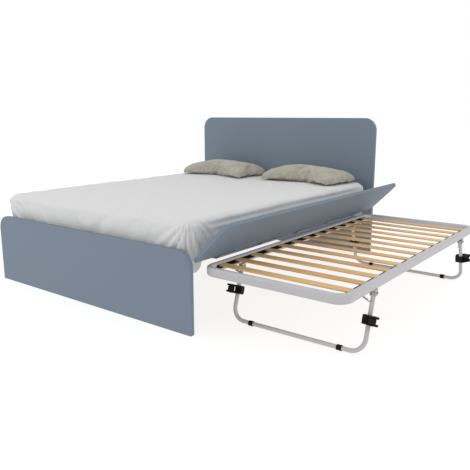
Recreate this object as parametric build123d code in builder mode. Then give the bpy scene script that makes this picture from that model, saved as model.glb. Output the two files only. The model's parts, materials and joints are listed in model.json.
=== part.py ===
"""Double bed with a pull-out trundle whose legs fold flat and run on rollers.

Frame: the origin is the centre of the footboard's underside, +X points across the bed
towards the trundle, +Y from the foot to the head, +Z up.  All sizes are millimetres.
The model stands in its open state: flap raised, trundle out beside the bed on its legs.
"""

from build123d import *
import os
from math import cos, pi, radians, sin

# ------------------------------------------------------------------ main bed, overall
BED_WIDTH = 1700.0  # across the head and foot boards
BED_INSIDE = 2072.0  # between the inner faces of the boards
BOARD_THICK = 28.0
HEAD_HEIGHT = 1058.0
FOOT_HEIGHT = 433.0
HEAD_RADIUS = 96.0
FOOT_RADIUS = 88.0
EDGE_ROUND = 2.5

# ------------------------------------------------------------------ main bed, slatted base
BASE_INSET = 78.0  # slat ends inside the boards' ends
RAIL_TUBE_W = 30.0
RAIL_TUBE_H = 34.0
RAIL_WALL = 2.0
BASE_SLAT_COUNT = 14
BASE_SLAT_W = 80.0
BASE_SLAT_T = 8.0
SLAT_PAD_T = 2.0
SLAT_PAD_L = 60.0
BRACKET_W = 70.0
BRACKET_T = 4.0
BRACKET_DROP = 62.0
BRACKET_SHELF = 32.0
BRACKET_BOLT_R = 4.0
BRACKET_BOLT_DEPTH = 16.0
BOLT_HEAD_R = 7.0
BOLT_HEAD_T = 5.0
BOLT_CLEAR = 0.1

# ------------------------------------------------------------------ side panel and flap
PANEL_THICK = 20.0
PANEL_GAP = 11.0  # from each end of the panel to the board beside it
PANEL_RADIUS = 55.0
FLAP_HEIGHT = 287.0
FLAP_OPEN_ANGLE = 135.0  # turned up from hanging shut
HINGE_OUT = 5.0  # hinge axis outside the ends of the boards
KNUCKLE_R = 4.0
HINGE_PIN_R = 2.0
PIN_RUNNING = 0.05
LEAF_T = 2.0
LEAF_W = 17.0
LEAF_REACH = 52.0
KNUCKLE_L = 30.0
KNUCKLE_GAP = 0.5
HINGE_COUNT = 5
HINGE_RAIL_T = 3.0
HINGE_RAIL_SETBACK = 175.0  # from each board, so that the sheet can hang at the corners
HINGE_END = 250.0  # first hinge's middle from the flap's end
SCREW_R = 1.5
SCREW_L = 14.0

# ------------------------------------------------------------------ bedding
MATTRESS_SIDE = 50.0  # mattress inside the boards' ends
MATTRESS_SLACK = 72.0  # free length between the boards
MATTRESS_T = 164.0
MATTRESS_ROUND = 70.0
MATTRESS_EDGE = 34.0
MATTRESS_FOOT_GAP = 22.0
SHEET_T = 3.0
SHEET_GAP = 0.5
SHEET_HEM = 8.0  # hem above the base's underside
SKIRT_CLEAR = 6.0  # skirt outside the slat ends
PILLOW_SHARE = 0.45  # pillow length as a part of the mattress width
PILLOW_W = 380.0
PILLOW_T = 122.0
PILLOW_ROUND = 55.0

# ------------------------------------------------------------------ trundle
TRUNDLE_APART = 16.0  # from the boards' ends to the trundle when it stands open
TRUNDLE_INSET = 36.0  # foot edge of the trundle past the footboard's inner face
TRUNDLE_W = 790.0
TRUNDLE_L = 1890.0
TRUNDLE_TOP = 356.0
PASS_UNDER = 4.0  # raised trundle below the base
STOW_TRAVEL = 1200.0
TUBE_W = 30.0
TUBE_H = 50.0
TUBE_ROUND = 14.0
TUBE_WALL = 1.5
CORNER_R = 58.0  # of the tube's centre line in plan
CORNER_RUN = 40.0  # straight end past the bend, up to the weld
SLAT_COUNT = 13
SLAT_SETBACK = 100.7  # first slat from the trundle's outer end
SLAT_W = 53.0
SLAT_T = 7.0
SLAT_RECESS = 12.0
LEDGE_W = 24.0
LEDGE_T = 6.0
LEDGE_WEB = 4.0
SLAT_END_GAP = 1.0

# ------------------------------------------------------------------ folding legs
LEG_TUBE_R = 11.0
LEG_WALL = 1.5
LEG_SIDE_INSET = 3.0  # side tube's centre inside the rail's centre line
LEG_BEND_R = 70.0
LEG_SPLAY = 16.7  # degrees from upright
LEG_END_INSET = 282.0  # pivots from the trundle's ends, before the shift
LEG_SHIFT = 39.0  # both pivots stand this much towards the head
PIVOT_ROOM = 7.0  # leg tube below the rail when it lies folded
LEG_TOP = 8.0  # tube end past the pivot axis
PIVOT_BOLT_R = 4.0
EAR_T = 3.0
EAR_GAP = 0.5
EAR_HALF_Y = 14.0
EAR_BELOW = 14.0
FOOT_PAD_INSET = 121.0  # pad from the side tube
FOOT_PAD_L = 26.0
FOOT_PAD_WALL = 3.0

# ------------------------------------------------------------------ rollers and springs
CARRIER_POS = 128.0  # along the leg from the pivot
CARRIER_HALF = 22.0
CARRIER_INNER = 30.0
CARRIER_WALL = 3.0
CHEEK_PAST = 10.0  # fork cheeks past the wheel
WHEEL_R = 18.0
WHEEL_HALF = 11.5
WHEEL_ROUND = 4.0
FORK_GAP = 0.8
AXLE_R = 3.0
AXLE_RUNNING = 0.05
AXLE_HEAD = 2.0
SPRING_R = 3.5
SPRING_WIRE_R = 1.0
SPRING_BODY = 0.74
SPRING_CLEAR = 2.5  # spring beside the leg tube
SPRING_POS = 45.0
SPRING_REACH = 96.0
STUD_R = 2.5
STUD_L = 24.0
HOOK_T = 3.0
SPRING_END_GAP = 0.5

# ------------------------------------------------------------------ derived places
FOOT_FACE = BOARD_THICK / 2
HEAD_FACE = FOOT_FACE + BED_INSIDE
BED_MID = (FOOT_FACE + HEAD_FACE) / 2
HALF_BED = BED_WIDTH / 2
HINGE_X = HALF_BED + HINGE_OUT
TRUNDLE_X = HALF_BED + TRUNDLE_APART
TRUNDLE_Y = FOOT_FACE + TRUNDLE_INSET
BASE_BOTTOM = TRUNDLE_TOP + PASS_UNDER
BASE_HALF_WIDTH = HALF_BED - BASE_INSET
MATTRESS_W = BED_WIDTH - 2 * MATTRESS_SIDE
MATTRESS_L = BED_INSIDE - MATTRESS_SLACK
PILLOW_L = PILLOW_SHARE * MATTRESS_W
BASE_TOP = BASE_BOTTOM + RAIL_TUBE_H
MATTRESS_MID = FOOT_FACE + MATTRESS_FOOT_GAP + MATTRESS_L / 2
BASE_SLAT_Z = BASE_TOP + SLAT_PAD_T
MATTRESS_Z = BASE_SLAT_Z + BASE_SLAT_T + 1.0
SLEEP_Z = MATTRESS_Z + MATTRESS_T + SHEET_GAP + SHEET_T
HINGE_Z = BASE_BOTTOM + HINGE_RAIL_T + KNUCKLE_R
LEAF_Z = HINGE_Z - KNUCKLE_R
SKIRT_FROM_X = BASE_HALF_WIDTH + SKIRT_CLEAR
PANEL_TOP = LEAF_Z
PANEL_LEN = BED_INSIDE - 2 * PANEL_GAP
HINGE_SPAN = 5 * KNUCKLE_L + 4 * KNUCKLE_GAP
HINGE_PITCH = (PANEL_LEN - 2 * HINGE_END) / (HINGE_COUNT - 1)

RAIL_Z = TRUNDLE_TOP - TUBE_H
RAIL_MID = TRUNDLE_TOP - TUBE_H / 2
TRUNDLE_MID_X = TRUNDLE_X + TRUNDLE_W / 2
TRUNDLE_MID_Y = TRUNDLE_Y + TRUNDLE_L / 2
SLAT_TOP = TRUNDLE_TOP - SLAT_RECESS
SLAT_LEN = TRUNDLE_W - 2 * (TUBE_W + LEDGE_WEB + SLAT_END_GAP)
SLAT_PITCH = (TRUNDLE_L - SLAT_W - 2 * SLAT_SETBACK) / (SLAT_COUNT - 1)
LEG_HALF_W = TRUNDLE_W / 2 - TUBE_W / 2 - LEG_SIDE_INSET
LEG_HALF_SPACING = TRUNDLE_L / 2 - LEG_END_INSET
FOOT_PAD_X = LEG_HALF_W - FOOT_PAD_INSET
LEG_MID_Y = TRUNDLE_MID_Y + LEG_SHIFT
PIVOT_Y = LEG_MID_Y - LEG_HALF_SPACING
PIVOT_Z = RAIL_Z - LEG_TUBE_R - PIVOT_ROOM
FOOT_PAD_R = LEG_TUBE_R + FOOT_PAD_WALL
BAR_Z = FOOT_PAD_R
CARRIER_R = LEG_TUBE_R + CARRIER_WALL
WHEEL_X = 1.5 * WHEEL_R
WHEEL_OUT = LEG_TUBE_R + WHEEL_R
CARRIER_OUTER = WHEEL_X + WHEEL_R + CHEEK_PAST
SPRING_SIDE = LEG_TUBE_R + SPRING_R + SPRING_CLEAR
LEG_LEN = (PIVOT_Z - BAR_Z) / cos(radians(LEG_SPLAY))

MID_PLANE = Plane.XZ.offset(-LEG_MID_Y)
HINGE_AXIS = Axis((HINGE_X, 0, HINGE_Z), (0, 1, 0))
# Directions of the foot leg: down along its tubes, and square to them towards the middle.
LEG_DOWN = (0, -sin(radians(LEG_SPLAY)), -cos(radians(LEG_SPLAY)))
LEG_IN = (0, cos(radians(LEG_SPLAY)), -sin(radians(LEG_SPLAY)))

os.makedirs("parts", exist_ok=True)


def save(part, name):
    """Label one finished piece and write it as a STEP file."""
    part.label = name
    export_step(part, f"parts/{name}.step")


def rounded_tube(width, height, outer_round, wall):
    """Sketch the section of a hollow tube with rounded corners in the open sketch."""
    RectangleRounded(width, height, outer_round)
    RectangleRounded(width - 2 * wall, height - 2 * wall, outer_round - wall, mode=Mode.SUBTRACT)


def block(one_corner, other_corner):
    """Add a plain box between two opposite corners to the open part."""
    pairs = list(zip(one_corner, other_corner))
    with Locations(tuple((a + b) / 2 for a, b in pairs)):
        Box(*[abs(b - a) for a, b in pairs])


# ================================================================== head and foot boards
def bracket_bolt_points(face_y):
    """Return the places of the bolts that hold both corner brackets on one board."""
    middle = BASE_HALF_WIDTH - BRACKET_W / 2
    points = []
    for side in (-1, 1):
        for step in (-1, 1):
            points.append((side * (middle + step * BRACKET_W / 4), face_y, BASE_BOTTOM - BRACKET_DROP / 2))
    return points


def make_board(name, mid_y, height, corner_round, inner_side):
    """Make a head or foot board: a slab with rounded top corners and soft edges."""
    with BuildPart() as board:
        with BuildSketch(Plane.XZ.offset(-mid_y)):
            with Locations((0, height / 2)):
                Rectangle(BED_WIDTH, height)
        extrude(amount=BOARD_THICK / 2, both=True)
        corners = board.edges().filter_by(Axis.Y).group_by(Axis.Z)[-1]
        fillet(corners, radius=corner_round)
        rims = board.faces().filter_by(Axis.Y).edges()
        fillet(rims.filter_by_position(Axis.Z, 1.0, height + 1.0), radius=EDGE_ROUND)
        face_y = mid_y + inner_side * BOARD_THICK / 2
        drill = Plane(origin=(0, face_y, 0), x_dir=(1, 0, 0), z_dir=(0, inner_side, 0))
        spots = [drill.to_local_coords(Vector(*p)) for p in bracket_bolt_points(face_y)]
        with BuildSketch(drill):
            with Locations([(v.X, v.Y) for v in spots]):
                Circle(BRACKET_BOLT_R + BOLT_CLEAR)
        extrude(amount=-(BRACKET_BOLT_DEPTH + BRACKET_T), mode=Mode.SUBTRACT)
    save(board.part, name)


make_board("footboard", 0.0, FOOT_HEIGHT, FOOT_RADIUS, 1)
make_board("headboard", HEAD_FACE + BOARD_THICK / 2, HEAD_HEIGHT, HEAD_RADIUS, -1)


# ================================================================== base frame
def long_tube(x_mid, y_from, y_to, width):
    """Return a rectangular steel tube of the base that runs along Y."""
    with BuildPart() as tube:
        with BuildSketch(Plane.XZ.offset(-y_from)):
            with Locations((x_mid, BASE_BOTTOM + RAIL_TUBE_H / 2)):
                rounded_tube(width, RAIL_TUBE_H, 2 * RAIL_WALL, RAIL_WALL)
        extrude(amount=-(y_to - y_from))
    return tube.part


RAIL_X = BASE_HALF_WIDTH - RAIL_TUBE_W / 2
RAIL_END = FOOT_FACE + BRACKET_T
save(long_tube(RAIL_X, RAIL_END, HEAD_FACE - BRACKET_T, RAIL_TUBE_W), "base_rail_right")
save(long_tube(-RAIL_X, RAIL_END, HEAD_FACE - BRACKET_T, RAIL_TUBE_W), "base_rail_left")

CROSS_INSET = BRACKET_T + RAIL_TUBE_W / 2
CROSS_REACH = BASE_HALF_WIDTH - RAIL_TUBE_W
with BuildPart() as base_cross_tubes:
    with BuildSketch(Plane.YZ.offset(-CROSS_REACH)):
        with Locations([(y, BASE_BOTTOM + RAIL_TUBE_H / 2) for y in (FOOT_FACE + CROSS_INSET, HEAD_FACE - CROSS_INSET)]):
            rounded_tube(RAIL_TUBE_W, RAIL_TUBE_H, 2 * RAIL_WALL, RAIL_WALL)
    extrude(amount=2 * CROSS_REACH)
save(base_cross_tubes.part, "base_cross_tubes")

BEAM_END = BRACKET_T + RAIL_TUBE_W
save(long_tube(0.0, FOOT_FACE + BEAM_END, HEAD_FACE - BEAM_END, RAIL_TUBE_W), "base_centre_beam")

SLAT_ROOM = MATTRESS_L - BASE_SLAT_W
BASE_SLAT_PITCH = SLAT_ROOM / (BASE_SLAT_COUNT - 1)
BASE_SLAT_Y = [MATTRESS_MID + (i - (BASE_SLAT_COUNT - 1) / 2) * BASE_SLAT_PITCH for i in range(BASE_SLAT_COUNT)]

with BuildPart() as base_slats:
    with Locations([(0, y, BASE_SLAT_Z + BASE_SLAT_T / 2) for y in BASE_SLAT_Y]):
        Box(2 * BASE_HALF_WIDTH, BASE_SLAT_W, BASE_SLAT_T)
save(base_slats.part, "base_slats")

with BuildPart() as base_slat_pads:
    with Locations([(x, y, BASE_TOP + SLAT_PAD_T / 2) for y in BASE_SLAT_Y for x in (-RAIL_X, 0, RAIL_X)]):
        Box(RAIL_TUBE_W, SLAT_PAD_L, SLAT_PAD_T)
save(base_slat_pads.part, "base_slat_pads")


# ================================================================== corner brackets and bolts
def make_bracket(name, side, face_y, inward):
    """Make an angle bracket: a plate on the board and a shelf under the side rail."""
    x_out = side * BASE_HALF_WIDTH
    x_in = side * (BASE_HALF_WIDTH - BRACKET_W)
    plate_y = face_y + inward * BRACKET_T
    shelf_y = face_y + inward * BRACKET_SHELF
    low_z = BASE_BOTTOM - BRACKET_DROP
    with BuildPart() as bracket:
        block((x_in, face_y, low_z), (x_out, plate_y, BASE_TOP))
        block((x_in, face_y, BASE_BOTTOM - BRACKET_T), (x_out, shelf_y, BASE_BOTTOM))
        for point in bracket_bolt_points(face_y):
            if point[0] * side > 0:
                with Locations(Plane(origin=point, x_dir=(1, 0, 0), z_dir=(0, inward, 0))):
                    Cylinder(BRACKET_BOLT_R + BOLT_CLEAR, 4 * BRACKET_T, mode=Mode.SUBTRACT)
    save(bracket.part, name)


make_bracket("bracket_foot_left", -1, FOOT_FACE, 1)
make_bracket("bracket_foot_right", 1, FOOT_FACE, 1)
make_bracket("bracket_head_left", -1, HEAD_FACE, -1)
make_bracket("bracket_head_right", 1, HEAD_FACE, -1)

with BuildPart() as bracket_bolts:
    for face, inward in ((FOOT_FACE, 1), (HEAD_FACE, -1)):
        for point in bracket_bolt_points(face):
            seat = Plane(origin=point, x_dir=(1, 0, 0), z_dir=(0, inward, 0)).offset(BRACKET_T)
            with BuildSketch(seat):
                RegularPolygon(BOLT_HEAD_R, 6)
            extrude(amount=BOLT_HEAD_T)
            with BuildSketch(seat):
                Circle(BRACKET_BOLT_R)
            extrude(amount=-(BRACKET_T + BRACKET_BOLT_DEPTH))
save(bracket_bolts.part, "bracket_bolts")


# ================================================================== side panel, flap and hinges
def panel_slab(x_from, screws):
    """Return a side panel as it hangs, with its lower corners rounded."""
    with BuildPart() as panel:
        with BuildSketch(Plane.YZ.offset(x_from)):
            with Locations((BED_MID, PANEL_TOP - FLAP_HEIGHT / 2)):
                Rectangle(PANEL_LEN, FLAP_HEIGHT)
        extrude(amount=PANEL_THICK)
        fillet(panel.edges().filter_by(Axis.X).group_by(Axis.Z)[0], radius=PANEL_RADIUS)
        rims = panel.faces().filter_by(Axis.X).edges()
        fillet(rims.filter_by_position(Axis.Z, 0.0, PANEL_TOP - 1.0), radius=EDGE_ROUND)
        if screws:
            with BuildSketch(Plane.XY.offset(PANEL_TOP)):
                with Locations(screws):
                    Circle(SCREW_R + BOLT_CLEAR)
            extrude(amount=-(SCREW_L + 1), mode=Mode.SUBTRACT)
    return panel.part


HINGE_Y = [BED_MID + (i - (HINGE_COUNT - 1) / 2) * HINGE_PITCH for i in range(HINGE_COUNT)]
FLAP_X = HINGE_X + KNUCKLE_R + 1.0
SCREW_X = FLAP_X + PANEL_THICK / 2 - 2.0
FLAP_SCREWS = [(SCREW_X, y + s * HINGE_SPAN / 3) for y in HINGE_Y for s in (-1, 1)]


def raise_flap(part):
    """Turn a piece of the flap from hanging shut to its raised state."""
    return part.rotate(HINGE_AXIS, -FLAP_OPEN_ANGLE)


def hinge_leaves(x_edge, knuckle_slots, screws):
    """Return one side of every hinge: a plate with its knuckles, bored for the pin."""
    low_x, high_x = min(x_edge, HINGE_X), max(x_edge, HINGE_X)
    with BuildPart() as leaves:
        for y in HINGE_Y:
            with Locations(((low_x + high_x) / 2, y, LEAF_Z + LEAF_T / 2)):
                Box(high_x - low_x, HINGE_SPAN, LEAF_T)
            for slot in range(5):
                slot_y = y + (slot - 2) * (KNUCKLE_L + KNUCKLE_GAP)
                with Locations(Plane(origin=(HINGE_X, slot_y, HINGE_Z), x_dir=(1, 0, 0), z_dir=(0, 1, 0))):
                    if slot in knuckle_slots:
                        Cylinder(KNUCKLE_R, KNUCKLE_L)
                    else:
                        Cylinder(KNUCKLE_R + KNUCKLE_GAP, KNUCKLE_L + 2 * KNUCKLE_GAP, mode=Mode.SUBTRACT)
            with Locations(Plane(origin=(HINGE_X, y, HINGE_Z), x_dir=(1, 0, 0), z_dir=(0, 1, 0))):
                Cylinder(HINGE_PIN_R + PIN_RUNNING, HINGE_SPAN + 2, mode=Mode.SUBTRACT)
        if screws:
            with BuildSketch(Plane.XY.offset(LEAF_Z)):
                with Locations(screws):
                    Circle(SCREW_R + BOLT_CLEAR)
            extrude(amount=LEAF_T, mode=Mode.SUBTRACT)
    return leaves.part


save(panel_slab(-HALF_BED, []), "side_panel_left")
save(raise_flap(panel_slab(FLAP_X, FLAP_SCREWS)), "flap_panel")
save(hinge_leaves(HINGE_X - LEAF_REACH, (0, 2, 4), []), "hinge_leaves_base")
save(raise_flap(hinge_leaves(HINGE_X + LEAF_W, (1, 3), FLAP_SCREWS)), "hinge_leaves_flap")

with BuildPart() as hinge_pins:
    with Locations([Plane(origin=(HINGE_X, y, HINGE_Z), x_dir=(1, 0, 0), z_dir=(0, 1, 0)) for y in HINGE_Y]):
        Cylinder(HINGE_PIN_R, HINGE_SPAN)
save(hinge_pins.part, "hinge_pins")

with BuildPart() as hinge_screws:
    with BuildSketch(Plane.XY.offset(LEAF_Z + LEAF_T)):
        with Locations(FLAP_SCREWS):
            Circle(SCREW_R)
    extrude(amount=-(LEAF_T + SCREW_L))
    with BuildSketch(Plane.XY.offset(LEAF_Z + LEAF_T)):
        with Locations(FLAP_SCREWS):
            Circle(2 * SCREW_R)
    extrude(amount=SCREW_R)
save(raise_flap(hinge_screws.part), "hinge_screws")

with BuildPart() as hinge_rail:
    block(
        (BASE_HALF_WIDTH, FOOT_FACE + HINGE_RAIL_SETBACK, BASE_BOTTOM),
        (HINGE_X - KNUCKLE_R, HEAD_FACE - HINGE_RAIL_SETBACK, BASE_BOTTOM + HINGE_RAIL_T),
    )
save(hinge_rail.part, "hinge_rail")

# The left panel hangs from two flat straps under the left side rail.
with BuildPart() as panel_straps:
    for y in (BED_MID - PANEL_LEN / 3, BED_MID + PANEL_LEN / 3):
        with Locations(((-HALF_BED + PANEL_THICK - BASE_HALF_WIDTH) / 2, y, BASE_BOTTOM + HINGE_RAIL_T / 2)):
            Box(HALF_BED - PANEL_THICK - BASE_HALF_WIDTH, 2 * BASE_SLAT_W, HINGE_RAIL_T)
save(panel_straps.part, "panel_straps")


# ================================================================== bedding
def soft_block(grow, low_z, round_base):
    """Return the mattress shape grown outwards, with rounded corners and edges."""
    with BuildPart() as shape:
        with BuildSketch(Plane.XY.offset(low_z)):
            with Locations((0, MATTRESS_MID)):
                RectangleRounded(MATTRESS_W + 2 * grow, MATTRESS_L + 2 * grow, MATTRESS_ROUND + grow)
        extrude(amount=MATTRESS_Z + MATTRESS_T + grow - low_z)
        ends = shape.faces().filter_by(Axis.Z).sort_by(Axis.Z)
        fillet((ends if round_base else ends[-1:]).edges(), radius=MATTRESS_EDGE + grow)
    return shape.part


save(soft_block(0, MATTRESS_Z, True), "mattress")

sheet_outside = soft_block(SHEET_GAP + SHEET_T, BASE_BOTTOM + SHEET_HEM, False)
sheet_inside = soft_block(SHEET_GAP, BASE_BOTTOM, False)
with BuildPart() as fitted_sheet:
    add(sheet_outside)
    add(sheet_inside, mode=Mode.SUBTRACT)
    # The skirt hangs down both long sides only, and is tucked in at the foot and the head.
    with Locations((0, MATTRESS_MID, (BASE_BOTTOM + MATTRESS_Z) / 2)):
        Box(2 * SKIRT_FROM_X, BED_INSIDE, MATTRESS_Z - BASE_BOTTOM, mode=Mode.SUBTRACT)
save(fitted_sheet.part, "fitted_sheet")


def make_pillow(name, x_mid, y_mid, turn):
    """Make a pillow as a plain rounded block that lies on the sheet."""
    with BuildPart() as pillow:
        with BuildSketch(Plane.XY.offset(SLEEP_Z + SHEET_GAP)):
            with Locations(Location((x_mid, y_mid), turn)):
                RectangleRounded(PILLOW_L, PILLOW_W, PILLOW_ROUND)
        extrude(amount=PILLOW_T)
        fillet(pillow.faces().filter_by(Axis.Z).edges(), radius=PILLOW_T / 2 - 6.0)
    save(pillow.part, name)


PILLOW_Y = HEAD_FACE - 236.0
make_pillow("pillow_left", -BED_WIDTH / 4, PILLOW_Y, -4.0)
make_pillow("pillow_right", BED_WIDTH / 4 - 17.0, PILLOW_Y, -5.0)


# ================================================================== trundle frame
TUBE_X0 = TRUNDLE_X + TUBE_W / 2
TUBE_X1 = TRUNDLE_X + TRUNDLE_W - TUBE_W / 2
TUBE_Y0 = TRUNDLE_Y + TUBE_W / 2
TUBE_Y1 = TRUNDLE_Y + TRUNDLE_L - TUBE_W / 2
WELD_RUN = CORNER_R + CORNER_RUN


def make_end_bow(name, y_bar, inward):
    """Make one end of the trundle frame: a tube bent round both corners."""
    with BuildPart() as bow:
        with BuildLine() as route:
            FilletPolyline(
                (TUBE_X0, y_bar + inward * WELD_RUN, RAIL_MID),
                (TUBE_X0, y_bar, RAIL_MID),
                (TUBE_X1, y_bar, RAIL_MID),
                (TUBE_X1, y_bar + inward * WELD_RUN, RAIL_MID),
                radius=CORNER_R,
            )
        with BuildSketch(Plane(origin=route.line @ 0, x_dir=(1, 0, 0), z_dir=route.line % 0)):
            rounded_tube(TUBE_W, TUBE_H, TUBE_ROUND, TUBE_WALL)
        sweep()
    save(bow.part, name)


def make_side_rail(name, x_mid):
    """Make one straight side tube of the trundle frame."""
    y_from = TUBE_Y0 + WELD_RUN
    with BuildPart() as rail:
        with BuildSketch(Plane.XZ.offset(-y_from)):
            with Locations((x_mid, RAIL_MID)):
                rounded_tube(TUBE_W, TUBE_H, TUBE_ROUND, TUBE_WALL)
        extrude(amount=-(TUBE_Y1 - WELD_RUN - y_from))
    save(rail.part, name)


make_end_bow("trundle_end_foot", TUBE_Y0, 1)
make_end_bow("trundle_end_head", TUBE_Y1, -1)
make_side_rail("trundle_rail_inner", TUBE_X0)
make_side_rail("trundle_rail_outer", TUBE_X1)

LEDGE_HALF = (SLAT_COUNT - 1) / 2 * SLAT_PITCH + SLAT_W / 2 + 12.0


def make_ledge(name, rail_face, inward):
    """Make the moulded strip along a side rail that the slat ends rest on."""
    web_x = rail_face + inward * LEDGE_WEB
    tip_x = rail_face + inward * LEDGE_W
    low_y, high_y = TRUNDLE_MID_Y - LEDGE_HALF, TRUNDLE_MID_Y + LEDGE_HALF
    shelf_z = SLAT_TOP - SLAT_T
    with BuildPart() as ledge:
        block((rail_face, low_y, shelf_z - LEDGE_T), (tip_x, high_y, shelf_z))
        block((rail_face, low_y, shelf_z - LEDGE_T), (web_x, high_y, SLAT_TOP))
    save(ledge.part, name)


make_ledge("slat_ledge_inner", TRUNDLE_X + TUBE_W, 1)
make_ledge("slat_ledge_outer", TRUNDLE_X + TRUNDLE_W - TUBE_W, -1)

for number in range(SLAT_COUNT):
    slat_y = TRUNDLE_MID_Y + (number - (SLAT_COUNT - 1) / 2) * SLAT_PITCH
    with BuildPart() as slat:
        with Locations((TRUNDLE_MID_X, slat_y, SLAT_TOP - SLAT_T / 2)):
            Box(SLAT_LEN, SLAT_W, SLAT_T)
        fillet(slat.edges().filter_by(Axis.X), radius=2.0)
    save(slat.part, f"trundle_slat_{number + 1:02d}")

# ================================================================== leg brackets and pivots
LEG_SIDES = (-1, 1)
EAR_IN = LEG_TUBE_R + EAR_GAP
EAR_OUT = EAR_IN + EAR_T
HOOK_Y = PIVOT_Y - SPRING_REACH
HOOK_Z = RAIL_Z - 3 * STUD_R

with BuildPart() as foot_brackets:
    for side in LEG_SIDES:
        x = TRUNDLE_MID_X + side * LEG_HALF_W
        near_y, far_y = PIVOT_Y - EAR_HALF_Y, PIVOT_Y + EAR_HALF_Y
        block((x - EAR_OUT, near_y, RAIL_Z - EAR_T), (x + EAR_OUT, far_y, RAIL_Z))
        for ear in (-1, 1):
            block((x + ear * EAR_IN, near_y, PIVOT_Z - EAR_BELOW), (x + ear * EAR_OUT, far_y, RAIL_Z))
        with Locations(Plane(origin=(x, PIVOT_Y, PIVOT_Z), x_dir=(0, 1, 0), z_dir=(1, 0, 0))):
            Cylinder(PIVOT_BOLT_R + AXLE_RUNNING, 4 * EAR_OUT, mode=Mode.SUBTRACT)
        hook_x = x - side * SPRING_SIDE
        tab_x = hook_x + side * SPRING_R
        block((tab_x, HOOK_Y - 3 * STUD_R, HOOK_Z - 2 * STUD_R),
              (tab_x + side * HOOK_T, HOOK_Y + 3 * STUD_R, RAIL_Z))
        with Locations(Plane(origin=(hook_x, HOOK_Y, HOOK_Z), x_dir=(0, 1, 0), z_dir=(1, 0, 0))):
            Cylinder(STUD_R, 2 * SPRING_R)

with BuildPart() as foot_pivot_bolts:
    for side in LEG_SIDES:
        x = TRUNDLE_MID_X + side * LEG_HALF_W
        with Locations(Plane(origin=(x, PIVOT_Y, PIVOT_Z), x_dir=(0, 1, 0), z_dir=(1, 0, 0))):
            Cylinder(PIVOT_BOLT_R, 2 * EAR_OUT)
        for end in (-1, 1):
            with BuildSketch(Plane.YZ.offset(x + end * EAR_OUT)):
                with Locations((PIVOT_Y, PIVOT_Z)):
                    RegularPolygon(BOLT_HEAD_R, 6)
            extrude(amount=end * BOLT_HEAD_T)

with BuildPart() as leg_brackets:
    add(foot_brackets.part)
    mirror(foot_brackets.part, about=MID_PLANE)
save(leg_brackets.part, "leg_brackets")

with BuildPart() as leg_pivot_bolts:
    add(foot_pivot_bolts.part)
    mirror(foot_pivot_bolts.part, about=MID_PLANE)
save(leg_pivot_bolts.part, "leg_pivot_bolts")


# ================================================================== folding legs
def leg_point(x, down, outward=0.0):
    """Return the world place that lies so far down the foot leg and out from it."""
    pivot = Vector(TRUNDLE_MID_X, PIVOT_Y, PIVOT_Z)
    return pivot + Vector(x, 0, 0) + Vector(*LEG_DOWN) * down - Vector(*LEG_IN) * outward


with BuildPart() as leg_foot:
    with BuildLine() as leg_route:
        FilletPolyline(
            leg_point(-LEG_HALF_W, -LEG_TOP),
            leg_point(-LEG_HALF_W, LEG_LEN),
            leg_point(LEG_HALF_W, LEG_LEN),
            leg_point(LEG_HALF_W, -LEG_TOP),
            radius=LEG_BEND_R,
        )
    with BuildSketch(Plane(origin=leg_route.line @ 0, x_dir=(1, 0, 0), z_dir=leg_route.line % 0)):
        Circle(LEG_TUBE_R)
        Circle(LEG_TUBE_R - LEG_WALL, mode=Mode.SUBTRACT)
    sweep()
    for side in LEG_SIDES:
        x = side * LEG_HALF_W
        with Locations(Plane(origin=leg_point(x, 0), x_dir=(0, 1, 0), z_dir=(1, 0, 0))):
            Cylinder(PIVOT_BOLT_R + AXLE_RUNNING, 4 * LEG_TUBE_R, mode=Mode.SUBTRACT)
        stud_x = x - side * (LEG_TUBE_R - LEG_WALL / 2 + STUD_L / 4)
        with Locations(Plane(origin=leg_point(stud_x, SPRING_POS), x_dir=(0, 1, 0), z_dir=(1, 0, 0))):
            Cylinder(STUD_R, STUD_L / 2)


LEG_RING = pi * (LEG_TUBE_R**2 - (LEG_TUBE_R - LEG_WALL) ** 2)
LEG_RUN = sum(edge.length for edge in leg_route.edges())
print(f"leg tube volume {leg_foot.part.volume:.0f}, section times length {LEG_RING * LEG_RUN:.0f}")

with BuildPart() as foot_pads_foot:
    for side in LEG_SIDES:
        with Locations(Plane(origin=leg_point(side * FOOT_PAD_X, LEG_LEN), x_dir=(0, 1, 0), z_dir=(1, 0, 0))):
            Cylinder(FOOT_PAD_R, FOOT_PAD_L)
            Cylinder(LEG_TUBE_R, FOOT_PAD_L, mode=Mode.SUBTRACT)


# ================================================================== roller carriers and wheels
def leg_section(side, down):
    """Return a plane across the leg: x outwards across the bed, y out of the leg plane."""
    origin = leg_point(side * LEG_HALF_W, down)
    return Plane(origin=origin, x_dir=(side, 0, 0), z_dir=Vector(*LEG_DOWN) * side)


def fork_outline(plane):
    """Return the outline of a carrier's end plate on a section plane of the leg."""
    with BuildSketch(plane) as outline:
        with BuildLine():
            Polyline(
                (-CARRIER_INNER, -CARRIER_R),
                (CARRIER_R, -CARRIER_R),
                (CARRIER_OUTER, WHEEL_OUT - WHEEL_R / 2),
                (CARRIER_OUTER, WHEEL_OUT + WHEEL_R / 3),
                (WHEEL_X - WHEEL_R / 2, WHEEL_OUT + WHEEL_R / 2),
                (-CARRIER_INNER, CARRIER_R),
                close=True,
            )
        make_face()
        fillet(outline.vertices(), radius=3.0)
    return outline.sketch


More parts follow.
